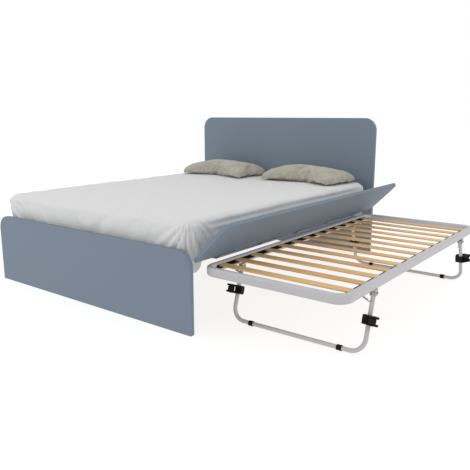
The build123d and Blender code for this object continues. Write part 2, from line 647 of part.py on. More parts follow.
def make_carrier(side):
    """Return the moulded fork that is clamped on one side tube and holds a wheel."""
    plate_t = CARRIER_HALF - WHEEL_HALF - FORK_GAP
    with BuildPart() as carrier:
        for low in (CARRIER_POS - CARRIER_HALF, CARRIER_POS + CARRIER_HALF - plate_t):
            extrude(fork_outline(leg_section(side, low)), dir=Vector(*LEG_DOWN), amount=plate_t)
        hub = leg_section(side, CARRIER_POS)
        with BuildSketch(hub):
            with Locations(((CARRIER_R - CARRIER_INNER) / 2 - 1.0, 0)):
                Rectangle(CARRIER_INNER + CARRIER_R - 2.0, 2 * CARRIER_R)
        extrude(amount=CARRIER_HALF - plate_t, both=True)
        with Locations(hub):
            Cylinder(LEG_TUBE_R, 3 * CARRIER_HALF, mode=Mode.SUBTRACT)
        with Locations(wheel_plane(side)):
            Cylinder(AXLE_R, 3 * CARRIER_HALF, mode=Mode.SUBTRACT)
    return carrier.part


def wheel_plane(side):
    """Return the plane through a wheel's middle, with its z axis on the axle."""
    origin = leg_point(side * (LEG_HALF_W + WHEEL_X), CARRIER_POS, WHEEL_OUT)
    return Plane(origin=origin, x_dir=(1, 0, 0), z_dir=LEG_DOWN)


def make_wheel(side):
    """Return one roller with softly rounded rims and a running bore."""
    with BuildPart() as wheel:
        with Locations(wheel_plane(side)):
            Cylinder(WHEEL_R, 2 * WHEEL_HALF)
        fillet(wheel.edges(), radius=WHEEL_ROUND)
        with Locations(wheel_plane(side)):
            Cylinder(AXLE_R + AXLE_RUNNING, 4 * WHEEL_HALF, mode=Mode.SUBTRACT)
    return wheel.part


def make_axles():
    """Return both roller axles of a leg, headed at each end outside the fork."""
    with BuildPart() as axles:
        for side in LEG_SIDES:
            plane = wheel_plane(side)
            with Locations(plane):
                Cylinder(AXLE_R, 2 * CARRIER_HALF)
            for end in (-1, 1):
                with Locations(plane.offset(end * (CARRIER_HALF + AXLE_HEAD / 2))):
                    Cylinder(2 * AXLE_R, AXLE_HEAD)
    return axles.part


def make_springs():
    """Return both tension springs of a leg, each drawn as a plain rod with thin ends."""
    with BuildPart() as springs:
        for side in LEG_SIDES:
            x = side * (LEG_HALF_W - SPRING_SIDE)
            start = Vector(TRUNDLE_MID_X + x, HOOK_Y, HOOK_Z)
            end = leg_point(x, SPRING_POS)
            axis = (end - start).normalized()
            length = (end - start).length
            middle = (start + end) * 0.5
            with Locations(Plane(origin=middle, x_dir=(1, 0, 0), z_dir=axis)):
                Cylinder(SPRING_R, SPRING_BODY * length)
                Cylinder(SPRING_WIRE_R, length - 2 * (STUD_R + SPRING_END_GAP))
    return springs.part


with BuildPart() as carriers_foot:
    for side in LEG_SIDES:
        add(make_carrier(side))

FOOT_LEG_PIECES = {
    "leg_tube": leg_foot.part,
    "leg_foot_pads": foot_pads_foot.part,
    "roller_carriers": carriers_foot.part,
    "roller_axles": make_axles(),
    "wheel_inner": make_wheel(-1),
    "wheel_outer": make_wheel(1),
    "leg_springs": make_springs(),
}

for name, piece in FOOT_LEG_PIECES.items():
    save(piece, f"{name}_foot")
    with BuildPart() as head_copy:
        mirror(piece, about=MID_PLANE)
    save(head_copy.part, f"{name}_head")

# ------------------------------------------------------------------ motion, for the record
STOWED_PIVOT_Z = WHEEL_OUT + WHEEL_R
DROP = PIVOT_Z - STOWED_PIVOT_Z
print(f"stow travel across {STOW_TRAVEL}, slide length {(STOW_TRAVEL**2 + DROP**2) ** 0.5:.4f}")
print(f"hinge axis x {HINGE_X}, z {HINGE_Z}; drop {DROP}; pivot y {PIVOT_Y} and {2 * LEG_MID_Y - PIVOT_Y}")
print(f"pivot z {PIVOT_Z}; leg length {LEG_LEN:.3f}; fold {90 + LEG_SPLAY}")
for side in LEG_SIDES:
    print("wheel centre", [round(v, 4) for v in wheel_plane(side).origin])
print("mattress top", SLEEP_Z, "panel top", PANEL_TOP, "lowest", PANEL_TOP - FLAP_HEIGHT)
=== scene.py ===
"""Looks of a trundle bed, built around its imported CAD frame.

The CAD nodes keep their own meshes and get their finishes here.  The soft goods and the
coil springs are new meshes: mattress, fitted sheet, two pillows and four springs.
Everything is in metres, with +X across the bed towards the trundle, +Y from the foot to
the head and +Z up.
"""

import json  # noqa: E402
import logging  # noqa: E402
import math  # noqa: E402
from dataclasses import dataclass, field  # noqa: E402
from enum import Enum  # noqa: E402
from typing import Any, Callable  # noqa: E402

import bmesh  # noqa: E402
import bpy  # noqa: E402
import numpy as np  # noqa: E402
from mathutils import Matrix, Vector, noise  # noqa: E402


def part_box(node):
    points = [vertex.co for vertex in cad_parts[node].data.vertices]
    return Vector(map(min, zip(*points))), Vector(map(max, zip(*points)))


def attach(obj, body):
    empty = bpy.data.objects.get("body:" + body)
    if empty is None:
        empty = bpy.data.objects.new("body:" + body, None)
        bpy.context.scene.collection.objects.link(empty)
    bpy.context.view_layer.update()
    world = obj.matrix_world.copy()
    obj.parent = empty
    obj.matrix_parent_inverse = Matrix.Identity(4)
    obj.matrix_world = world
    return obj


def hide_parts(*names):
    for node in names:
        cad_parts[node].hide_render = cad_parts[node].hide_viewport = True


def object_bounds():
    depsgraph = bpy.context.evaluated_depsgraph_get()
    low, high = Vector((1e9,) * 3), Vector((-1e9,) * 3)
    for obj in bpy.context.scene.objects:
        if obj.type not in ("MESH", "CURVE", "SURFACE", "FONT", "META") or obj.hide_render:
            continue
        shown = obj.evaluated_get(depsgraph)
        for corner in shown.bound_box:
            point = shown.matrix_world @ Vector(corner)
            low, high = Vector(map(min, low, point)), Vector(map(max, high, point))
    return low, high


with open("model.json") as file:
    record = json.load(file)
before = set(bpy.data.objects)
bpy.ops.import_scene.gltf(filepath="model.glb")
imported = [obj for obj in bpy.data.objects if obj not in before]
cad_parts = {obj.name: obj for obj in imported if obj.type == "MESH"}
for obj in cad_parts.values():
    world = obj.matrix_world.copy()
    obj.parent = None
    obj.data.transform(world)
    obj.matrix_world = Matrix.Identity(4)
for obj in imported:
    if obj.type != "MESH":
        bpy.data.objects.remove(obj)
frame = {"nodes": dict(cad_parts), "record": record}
CAD_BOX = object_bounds()

LOG = logging.getLogger("trundle_bed")
MM = 0.001
BRIGHT = (1.0, 1.0, 1.0, 1.0)
CROWDING = 0.55  # how much finer the grid is at the edges than in the middle
SIDE_PULL = 13 * MM  # how far the soft sides lean in below their top edge
PILLOW_DEPTH = 0.38


# ---------------------------------------------------------------------------- small tools
def linear(code: str) -> tuple[float, float, float, float]:
    """Turn an sRGB hex colour into linear RGBA.

    Args:
        code: Six hex digits, with or without a leading hash.

    Returns:
        The colour as four linear numbers, with alpha 1.
    """
    digits = code.lstrip("#")
    parts = [int(digits[i : i + 2], 16) / 255 for i in (0, 2, 4)]
    curve = [c / 12.92 if c <= 0.04045 else ((c + 0.055) / 1.055) ** 2.4 for c in parts]
    return (curve[0], curve[1], curve[2], 1.0)


def add_node(
    tree: bpy.types.NodeTree,
    kind: str,
    values: dict[Any, Any] | None = None,
    links: dict[Any, bpy.types.NodeSocket] | None = None,
    **settings: Any,
) -> bpy.types.Node:
    """Add one node with its settings, its socket values and its links.

    Args:
        tree: The node tree to add to.
        kind: The node's type, such as "ShaderNodeBump".
        values: Socket name or index to a fixed value.
        links: Socket name or index to the output that feeds it.
        **settings: Properties set on the node itself.

    Returns:
        The new node.
    """
    node = tree.nodes.new(kind)
    for key, value in settings.items():
        setattr(node, key, value)
    for key, value in (values or {}).items():
        node.inputs[key].default_value = value
    for key, socket in (links or {}).items():
        tree.links.new(socket, node.inputs[key])
    return node


def smoothstep(low: float, high: float, value: float) -> float:
    """Return 0 below low, 1 above high and a smooth rise between them."""
    share = min(1.0, max(0.0, (value - low) / (high - low)))
    return share * share * (3 - 2 * share)


def bell(value: float, centre: float, width: float) -> float:
    """Return a smooth bump of height 1 at centre that fades over about width."""
    return math.exp(-(((value - centre) / width) ** 2))


def new_piece(name: str, mesh: bmesh.types.BMesh, smooth: bool = True) -> bpy.types.Object:
    """Turn a bmesh into an object at the origin and free the bmesh.

    Args:
        name: The piece's name.
        mesh: The bmesh that holds its shape in the row frame.
        smooth: Whether its faces are shaded smooth.

    Returns:
        The linked object.
    """
    data = bpy.data.meshes.new(name)
    mesh.to_mesh(data)
    mesh.free()
    data.polygons.foreach_set("use_smooth", [smooth] * len(data.polygons))
    piece = bpy.data.objects.new(name, data)
    bpy.context.scene.collection.objects.link(piece)
    return piece


def apply_modifiers(piece: bpy.types.Object) -> None:
    """Put the result of a piece's modifiers into its own mesh."""
    bpy.context.view_layer.update()
    graph = bpy.context.evaluated_depsgraph_get()
    shaped = bpy.data.meshes.new_from_object(piece.evaluated_get(graph))
    piece.modifiers.clear()
    piece.data = shaped
    shaped.polygons.foreach_set("use_smooth", [True] * len(shaped.polygons))


# ---------------------------------------------------------------------------- finishes
class Place(Enum):
    """Where a finish reads the place of its pattern from."""

    OBJECT = "Object"
    CLOTH = "UV"


@dataclass(frozen=True)
class Finish:
    """One finish: its slot in the record, its name and its shader's main values."""

    slot: str
    name: str
    colour: str
    roughness: float
    metallic: float = 0.0
    place: Place = Place.OBJECT

    def dress(
        self, tree: bpy.types.NodeTree, shader: bpy.types.Node, at: bpy.types.NodeSocket
    ) -> None:
        """Add the pattern of this finish to its tree; a plain finish adds none."""

    def material(self) -> bpy.types.Material:
        """Build the finish as a Blender material."""
        made = bpy.data.materials.new(self.name)
        made.use_nodes = True
        tree = made.node_tree
        tree.nodes.clear()
        shader = add_node(
            tree,
            "ShaderNodeBsdfPrincipled",
            values={
                "Base Color": linear(self.colour),
                "Roughness": self.roughness,
                "Metallic": self.metallic,
            },
        )
        add_node(tree, "ShaderNodeOutputMaterial", links={"Surface": shader.outputs["BSDF"]})
        coordinates = add_node(tree, "ShaderNodeTexCoord")
        self.dress(tree, shader, coordinates.outputs[self.place.value])
        return made

    def vary(
        self,
        tree: bpy.types.NodeTree,
        shader: bpy.types.Node,
        share: bpy.types.NodeSocket,
        dark: str,
        light: str,
    ) -> bpy.types.Node:
        """Colour the shader between two shades by a share from 0 to 1."""
        mixed = add_node(
            tree,
            "ShaderNodeMix",
            values={6: linear(dark), 7: linear(light)},
            links={0: share},
            data_type="RGBA",
        )
        tree.links.new(mixed.outputs[2], shader.inputs["Base Color"])
        return mixed

    def roughen(
        self,
        tree: bpy.types.NodeTree,
        shader: bpy.types.Node,
        share: bpy.types.NodeSocket,
        low: float,
        high: float,
    ) -> None:
        """Let the roughness run from low to high with a share from 0 to 1."""
        ranged = add_node(
            tree,
            "ShaderNodeMapRange",
            values={"From Min": 0.3, "From Max": 0.7, "To Min": low, "To Max": high},
            links={"Value": share},
        )
        tree.links.new(ranged.outputs["Result"], shader.inputs["Roughness"])


def grains(
    tree: bpy.types.NodeTree,
    at: bpy.types.NodeSocket,
    size: tuple[float, float, float],
    detail: float = 2.0,
) -> bpy.types.NodeSocket:
    """Return noise whose grains have the given real size along X, Y and Z.

    Args:
        tree: The node tree.
        at: The coordinates that the noise reads, in metres.
        size: The size of one grain along each axis, in millimetres.
        detail: How many finer layers the noise has.

    Returns:
        The noise's value, around 0.5.
    """
    scale = [1.0 / (s * MM) for s in size]
    mapped = add_node(tree, "ShaderNodeMapping", values={"Scale": scale}, links={"Vector": at})
    speckle = add_node(
        tree,
        "ShaderNodeTexNoise",
        values={"Scale": 1.0, "Detail": detail, "Roughness": 0.55},
        links={"Vector": mapped.outputs["Vector"]},
    )
    return speckle.outputs[0]


def relief(
    tree: bpy.types.NodeTree,
    shader: bpy.types.Node,
    heights: list[tuple[bpy.types.NodeSocket, float]],
    strength: float = 1.0,
) -> None:
    """Stack bumps on the shader, each with its height in millimetres.

    Args:
        tree: The node tree.
        shader: The shader whose normal is bent.
        heights: Pairs of a height from 0 to 1 and the depth it stands for, in millimetres.
        strength: The strength of every bump.
    """
    below = None
    for height, depth in heights:
        links = {"Height": height}
        if below is not None:
            links["Normal"] = below.outputs["Normal"]
        below = add_node(
            tree,
            "ShaderNodeBump",
            values={"Strength": strength, "Distance": depth * MM},
            links=links,
        )
    if below is not None:
        tree.links.new(below.outputs["Normal"], shader.inputs["Normal"])


def threads(
    tree: bpy.types.NodeTree, at: bpy.types.NodeSocket, spacing: float, wander: float
) -> bpy.types.NodeSocket:
    """Return the height of a plain weave, from the crossing of two sets of threads.

    Args:
        tree: The node tree.
        at: The cloth's own coordinates in metres.
        spacing: The distance between threads, in millimetres.
        wander: How far the threads stray from straight, as noise distortion.

    Returns:
        The weave's height from 0 to 1.
    """
    sets = []
    for direction in ("X", "Y"):
        wave = add_node(
            tree,
            "ShaderNodeTexWave",
            values={
                "Scale": 0.314 / (spacing * MM),
                "Distortion": wander,
                "Detail": 1.0,
                "Detail Scale": 0.6,
            },
            links={"Vector": at},
            bands_direction=direction,
        )
        sets.append(wave.outputs["Fac"])
    woven = add_node(tree, "ShaderNodeMath", links={0: sets[0], 1: sets[1]}, operation="MULTIPLY")
    return woven.outputs["Value"]


@dataclass(frozen=True)
class LacqueredBoard(Finish):
    """Satin lacquer sprayed on MDF: an even tone with a faint orange peel."""

    dark: str = "#6B7885"

    def dress(
        self, tree: bpy.types.NodeTree, shader: bpy.types.Node, at: bpy.types.NodeSocket
    ) -> None:
        """Add a slow change of tone and the sprayed skin's shallow peel."""
        clouds = grains(tree, at, (310.0, 310.0, 310.0))
        self.vary(tree, shader, clouds, self.dark, self.colour)
        peel = grains(tree, at, (3.5, 3.5, 3.5))
        self.roughen(tree, shader, clouds, self.roughness - 0.04, self.roughness + 0.06)
        # Real peel is 1 to 2 mm wide; it is drawn a little coarser so that it shows.
        relief(tree, shader, [(peel, 0.05)], strength=0.5)
        shader.inputs["Coat Weight"].default_value = 0.05
        shader.inputs["Coat Roughness"].default_value = 0.35
        shader.inputs["Specular IOR Level"].default_value = 0.3


@dataclass(frozen=True)
class PowderCoat(Finish):
    """Powder coat baked on steel tube: satin, with a fine pebbled skin."""

    dark: str = "#A7A6A8"

    def dress(
        self, tree: bpy.types.NodeTree, shader: bpy.types.Node, at: bpy.types.NodeSocket
    ) -> None:
        """Add the pebbled skin and a slight drift of tone along the tube."""
        drift = grains(tree, at, (140.0, 140.0, 140.0))
        self.vary(tree, shader, drift, self.dark, self.colour)
        self.roughen(tree, shader, drift, self.roughness - 0.05, self.roughness + 0.07)
        pebbles = grains(tree, at, (2.2, 2.2, 2.2), detail=1.0)
        relief(tree, shader, [(pebbles, 0.06)], strength=0.45)
        shader.inputs["Coat Weight"].default_value = 0.2
        shader.inputs["Coat Roughness"].default_value = 0.28


@dataclass(frozen=True)
class ZincPlate(Finish):
    """Bright zinc on turned and stamped steel: cool, with fine tool marks."""

    dark: str = "#8E9194"

    def dress(
        self, tree: bpy.types.NodeTree, shader: bpy.types.Node, at: bpy.types.NodeSocket
    ) -> None:
        """Add tool marks and the patchy bloom of plated steel."""
        bloom = grains(tree, at, (9.0, 9.0, 9.0))
        self.vary(tree, shader, bloom, self.dark, self.colour)
        self.roughen(tree, shader, bloom, self.roughness - 0.08, self.roughness + 0.12)
        marks = grains(tree, at, (0.6, 6.0, 0.6), detail=1.0)
        relief(tree, shader, [(marks, 0.03)], strength=0.4)


@dataclass(frozen=True)
class BeechPly(Finish):
    """Bent beech plywood, clear lacquered: long grain along X and glue lines on the edges."""

    dark: str = "#B88A4B"
    glue: str = "#7A5026"
    ply: float = 1.4

    def dress(
        self, tree: bpy.types.NodeTree, shader: bpy.types.Node, at: bpy.types.NodeSocket
    ) -> None:
        """Add the grain, its flecks, a tone for each slat and the plies."""
        grain = grains(tree, at, (380.0, 5.0, 40.0), detail=4.0)
        slat_tone = grains(tree, at, (5000.0, 150.0, 5000.0), detail=0.0)
        flecks = grains(tree, at, (14.0, 1.3, 6.0), detail=1.0)
        toned = add_node(tree, "ShaderNodeMath", links={0: grain, 1: slat_tone}, operation="ADD")
        share = add_node(
            tree,
            "ShaderNodeMapRange",
            values={"From Min": 0.72, "From Max": 1.28},
            links={"Value": toned.outputs["Value"]},
        )
        wood = self.vary(tree, shader, share.outputs["Result"], self.dark, self.colour)
        # The veneers show as thin dark lines only where a face looks sideways.
        height = add_node(tree, "ShaderNodeSeparateXYZ", links={"Vector": at})
        layers = add_node(
            tree,
            "ShaderNodeMath",
            values={1: self.ply * MM},
            links={0: height.outputs["Z"]},
            operation="PINGPONG",
        )
        line = add_node(
            tree,
            "ShaderNodeMath",
            values={1: 0.14 * self.ply * MM},
            links={0: layers.outputs["Value"]},
            operation="LESS_THAN",
        )
        facing = add_node(tree, "ShaderNodeTexCoord")
        upward = add_node(tree, "ShaderNodeSeparateXYZ", links={"Vector": facing.outputs["Normal"]})
        level = add_node(
            tree, "ShaderNodeMath", links={0: upward.outputs["Z"]}, operation="ABSOLUTE"
        )
        side = add_node(
            tree,
            "ShaderNodeMath",
            values={1: 0.4},
            links={0: level.outputs["Value"]},
            operation="LESS_THAN",
        )
        seen = add_node(
            tree,
            "ShaderNodeMath",
            links={0: side.outputs["Value"], 1: line.outputs["Value"]},
            operation="MULTIPLY",
        )
        edged = add_node(
            tree,
            "ShaderNodeMix",
            values={7: linear(self.glue)},
            links={0: seen.outputs["Value"], 6: wood.outputs[2]},
            data_type="RGBA",
        )
        tree.links.new(edged.outputs[2], shader.inputs["Base Color"])
        self.roughen(tree, shader, grain, self.roughness - 0.06, self.roughness + 0.1)
        relief(tree, shader, [(grain, 0.12), (flecks, 0.08)], strength=0.5)
        shader.inputs["Coat Weight"].default_value = 0.15
        shader.inputs["Coat Roughness"].default_value = 0.3


@dataclass(frozen=True)
class MouldedPlastic(Finish):
    """Injection-moulded polypropylene or soft rubber: dark, with a fine spark texture."""

    dark: str = "#070708"
    texture: float = 1.6

    def dress(
        self, tree: bpy.types.NodeTree, shader: bpy.types.Node, at: bpy.types.NodeSocket
    ) -> None:
        """Add the mould's fine texture and slightly rubbed patches."""
        rubbed = grains(tree, at, (22.0, 22.0, 22.0))
        self.vary(tree, shader, rubbed, self.dark, self.colour)
        self.roughen(tree, shader, rubbed, self.roughness - 0.08, self.roughness + 0.12)
        spark = grains(tree, at, (self.texture,) * 3, detail=1.0)
        relief(tree, shader, [(spark, 0.06)], strength=0.5)
        shader.inputs["Specular IOR Level"].default_value = 0.18


@dataclass(frozen=True)
class WovenCloth(Finish):
    """Plain woven cloth: a thread pattern, slubs and a soft sheen."""

    dark: str = "#C9C9C8"
    spacing: float = 2.4
    slub: tuple[float, float, float] = (90.0, 5.0, 90.0)
    depth: float = 0.25
    wander: float = 1.0
    sheen: float = 0.15
    place: Place = Place.CLOTH

    def dress(
        self, tree: bpy.types.NodeTree, shader: bpy.types.Node, at: bpy.types.NodeSocket
    ) -> None:
        """Add threads both ways, their slubs and a slow change of tone."""
        weave = threads(tree, at, self.spacing, self.wander)
        across = grains(tree, at, self.slub)
        along = grains(tree, at, (self.slub[1], self.slub[0], self.slub[2]))
        slubs = add_node(tree, "ShaderNodeMath", links={0: across, 1: along}, operation="ADD")
        both = add_node(
            tree,
            "ShaderNodeMath",
            values={1: 0.35},
            links={0: weave, 2: slubs.outputs["Value"]},
            operation="MULTIPLY_ADD",
        )
        share = add_node(
            tree,
            "ShaderNodeMapRange",
            values={"From Min": 0.8, "From Max": 1.4},
            links={"Value": both.outputs["Value"]},
        )
        self.vary(tree, shader, share.outputs["Result"], self.dark, self.colour)
        relief(
            tree,
            shader,
            [(slubs.outputs["Value"], 1.4 * self.depth), (weave, self.depth)],
            strength=0.6,
        )
        shader.inputs["Sheen Weight"].default_value = self.sheen
        shader.inputs["Sheen Roughness"].default_value = 0.5
        shader.inputs["Specular IOR Level"].default_value = 0.25


@dataclass(frozen=True)
class QuiltedTicking(WovenCloth):
    """Mattress ticking quilted in diamonds over a thin pad."""

    quilt: float = 78.0

    def dress(
        self, tree: bpy.types.NodeTree, shader: bpy.types.Node, at: bpy.types.NodeSocket
    ) -> None:
        """Add the quilted diamonds under the weave."""
        super().dress(tree, shader, at)
        turned = add_node(
            tree,
            "ShaderNodeMapping",
            values={"Rotation": (0.0, 0.0, math.radians(45))},
            links={"Vector": at},
        )
        quilt = threads(tree, turned.outputs["Vector"], self.quilt, 0.0)
        weave = threads(tree, at, self.spacing, self.wander)
        relief(tree, shader, [(quilt, 5.0), (weave, self.depth)], strength=0.6)


FINISHES: list[Finish] = [
    LacqueredBoard("painted_board", "satin_lacquer_on_mdf", "#6F7C8A", 0.6),
    # The base frame has the trundle's light grey coat; both its colours are darkened as painted
    # shade, for the shadow under the flap.
    PowderCoat("base_steel", "grey_powder_coat_with_painted_shade", "#A9A9AB", 0.45, dark="#9D9DA0"),
    ZincPlate("zinc_steel", "bright_zinc_plate", "#B9BCBF", 0.34, metallic=1.0),
    ZincPlate("spring_steel", "drawn_spring_wire", "#A3A5A8", 0.3, metallic=1.0, dark="#77797C"),
    PowderCoat("trundle_steel", "light_grey_powder_coat", "#B3B2B4", 0.4),
    BeechPly("slat_plywood", "clear_lacquered_beech_ply", "#D9B071", 0.42),
    MouldedPlastic("black_plastic", "moulded_black_polypropylene", "#0E0E0F", 0.55),
    MouldedPlastic("roller_rubber", "grey_black_roller_rubber", "#232324", 0.75, texture=2.4),
    QuiltedTicking("mattress_ticking", "quilted_ticking", "#E4E3DF", 0.85, dark="#D2D1CC"),
    WovenCloth("sheet_cotton", "white_cotton_percale", "#CFCFCF", 0.86, dark="#C8C8C8"),
    WovenCloth(
        "pillow_linen",
        "khaki_slub_linen",
        "#B2AEA2",
        0.9,
        dark="#928E82",
        spacing=3.2,
        slub=(60.0, 4.5, 60.0),
        depth=0.5,
        wander=2.2,
        sheen=0.25,
    ),
]


@dataclass
class FinishRack:
    """Every finish as a material, by its slot in the record."""

    materials: dict[str, bpy.types.Material] = field(default_factory=dict)

    def fill(self) -> None:
        """Build the material of every finish."""
        for finish in FINISHES:
            self.materials[finish.slot] = finish.material()

    def put_on(self, piece: bpy.types.Object, slot: str) -> None:
        """Give a new piece its material."""
        piece.data.materials.clear()
        piece.data.materials.append(self.materials[slot])

    def dress_cad(self) -> None:
        """Give every CAD node the finish that the record names for it."""
        for row in frame["record"]["subparts"]:
            node = frame["nodes"][row["node"]]
            node.data.materials.clear()
            node.data.materials.append(self.materials[row["material_slot"]])


# ---------------------------------------------------------------------------- bedding
@dataclass
class SoftBlock:
    """A block with round vertical corners and round top edges, as a mattress has."""

    low: Vector
    high: Vector
    corner: float = 70 * MM
    edge: float = 34 * MM
    pull_in: float = 0.0

    @property
    def middle(self) -> Vector:
        """The middle of the block."""
        return (self.low + self.high) / 2

    def rounded_plan(self, x: float, y: float) -> tuple[float, float]:
        """Move a point of the square plan to the plan with round corners.

        Args:
            x: Distance from the middle along X.
            y: Distance from the middle along Y.

        Returns:
            The moved point, from the middle.
        """
        reach = (self.high - self.low) / 2
        core = (reach.x - self.corner, reach.y - self.corner)
        held = (min(core[0], max(-core[0], x)), min(core[1], max(-core[1], y)))
        away = (x - held[0], y - held[1])
        longest, length = max(abs(away[0]), abs(away[1])), math.hypot(*away)
        if length < 1e-9:
            return x, y
        return held[0] + away[0] * longest / length, held[1] + away[1] * longest / length

    def outward(self, x: float, y: float) -> tuple[float, tuple[float, float]]:
        """Return how far a point lies outside the plan, and the way out.

        Args:
            x: Distance from the middle along X.
            y: Distance from the middle along Y.

        Returns:
            The distance, negative inside, and a unit direction.
        """
        reach = (self.high - self.low) / 2
        over = (abs(x) - (reach.x - self.corner), abs(y) - (reach.y - self.corner))
        signs = (math.copysign(1, x), math.copysign(1, y))
        if over[0] > 0 and over[1] > 0:
            length = math.hypot(*over)
            return length - self.corner, (signs[0] * over[0] / length, signs[1] * over[1] / length)
        if over[0] > over[1]:
            return over[0] - self.corner, (signs[0], 0.0)
        return over[1] - self.corner, (0.0, signs[1])

    def shape(self, point: Vector, both: bool = False) -> Vector:
        """Move a point of the square block's surface to the rounded block's.

        Args:
            point: A point on the square block, in the row frame.
            both: Whether the lower edges are round too.

        Returns:
            The moved point.
        """
        x, y = self.rounded_plan(point.x - self.middle.x, point.y - self.middle.y)
        out, way = self.outward(x, y)
        across = out + self.edge
        sunk = smoothstep(0.03, 0.16, self.high.z - point.z) * max(0.0, 1 + out / self.edge)
        x -= way[0] * self.pull_in * sunk
        y -= way[1] * self.pull_in * sunk
        top = point.z - (self.high.z - self.edge)
        bottom = (self.low.z + self.edge) - point.z
        rise, sign = (top, 1) if top > bottom else (bottom, -1)
        if across > 0 and rise > 0 and (sign > 0 or both):
            share = max(across, rise) / math.hypot(across, rise)
            x += way[0] * across * (share - 1)
            y += way[1] * across * (share - 1)
            height = point.z + sign * rise * (share - 1)
            return Vector((self.middle.x + x, self.middle.y + y, height))
        return Vector((self.middle.x + x, self.middle.y + y, point.z))


def crowd(at: float, half: float) -> float:
    """Shift a grid line so that the lines crowd together towards both ends."""
    share = at / half
    return half * (share + CROWDING / math.pi * math.sin(math.pi * share))


def block_grid(
    block: SoftBlock, low_z: float, step: float, closed: bool, row: float | None = None
) -> bmesh.types.BMesh:
    """Make a gridded box shell over a block and lay out its cloth coordinates.

    Args:
        block: The block whose box is gridded.
        low_z: The lowest height that the sides reach.
        step: The size of one grid cell.
        closed: Whether the shell has a bottom.
        row: The height of one row of cells on the sides, if it isn't the step.

    Returns:
        A bmesh of square cells with a UV map in metres.
    """
    size = block.high - block.low
    across, along = round(size.x / step), round(size.y / step)
    down = round((block.high.z - low_z) / (row or step))
    shell = bmesh.new()
    bmesh.ops.create_grid(shell, x_segments=across, y_segments=along, size=0.5)
    bmesh.ops.scale(shell, vec=(size.x, size.y, 1.0), verts=shell.verts)
    for vert in shell.verts:
        vert.co.x = crowd(vert.co.x, size.x / 2)
        vert.co.y = crowd(vert.co.y, size.y / 2)
    place = (block.middle.x, block.middle.y, block.high.z)
    bmesh.ops.translate(shell, vec=place, verts=shell.verts)
    rim = [e for e in shell.edges if e.is_boundary]
    fall = (block.high.z - low_z) / down
    for _ in range(down):
        grown = bmesh.ops.extrude_edge_only(shell, edges=rim)["geom"]
        bmesh.ops.translate(
            shell, vec=(0, 0, -fall), verts=[g for g in grown if isinstance(g, bmesh.types.BMVert)]
        )
        rim = [g for g in grown if isinstance(g, bmesh.types.BMEdge) and g.is_boundary]
    if closed:
        bmesh.ops.create_grid(shell, x_segments=across, y_segments=along, size=0.5)
        floor = [v for v in shell.verts if abs(v.co.z) < 1e-9]
        bmesh.ops.scale(shell, vec=(size.x, size.y, 1.0), verts=floor)
        for vert in floor:
            vert.co.x = crowd(vert.co.x, size.x / 2)
            vert.co.y = crowd(vert.co.y, size.y / 2)
        bmesh.ops.translate(shell, vec=(block.middle.x, block.middle.y, low_z), verts=floor)
        bmesh.ops.remove_doubles(shell, verts=shell.verts, dist=0.1 * step)
    bmesh.ops.recalc_face_normals(shell, faces=shell.faces)
    lay_out(shell, block)
    return shell


def lay_out(shell: bmesh.types.BMesh, block: SoftBlock) -> None:
    """Give every face of a box shell flat cloth coordinates, in metres."""
    layer = shell.loops.layers.uv.new("cloth")
    for face in shell.faces:
        normal = face.normal
        for loop in face.loops:
            p = loop.vert.co
            drop = block.high.z - p.z
            if abs(normal.z) > 0.5:
                loop[layer].uv = (p.x, p.y)
            elif abs(normal.x) > 0.5:
                loop[layer].uv = (p.x + math.copysign(drop, normal.x), p.y)
            else:
                loop[layer].uv = (p.x, p.y + math.copysign(drop, normal.y))


@dataclass
class Mattress:
    """The main mattress: a foam block in quilted ticking, with taped edges."""

    rack: FinishRack
    step: float = 24 * MM
    tape: float = 4 * MM

    def build(self) -> bpy.types.Object:
        """Build the mattress inside the space that its CAD block holds."""
        low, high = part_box("mattress")
        inset = Vector((self.tape, self.tape, self.tape))
        block = SoftBlock(low + inset, high - inset, pull_in=SIDE_PULL)
        shell = block_grid(block, block.low.z, self.step, closed=True)
        for vert in shell.verts:
            vert.co = block.shape(vert.co, both=True)
        bmesh.ops.recalc_face_normals(shell, faces=shell.faces)
        normals = {v.index: v.normal.copy() for v in shell.verts}
        for vert in shell.verts:
            from_top = block.high.z - vert.co.z
            from_low = vert.co.z - block.low.z
            ridge = bell(from_top, block.edge, self.tape) + bell(from_low, block.edge, self.tape)
            vert.co += normals[vert.index] * self.tape * 0.8 * ridge
        piece = new_piece("mattress_body", shell)
        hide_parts("mattress")
        self.rack.put_on(piece, "mattress_ticking")
        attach(piece, "main_bed")
        return piece


def crest(value: float, sharp: float) -> float:
    """Return 1 where a signed noise crosses zero, falling off sharply both ways."""
    return max(0.0, 1 - 2.2 * abs(value)) ** sharp


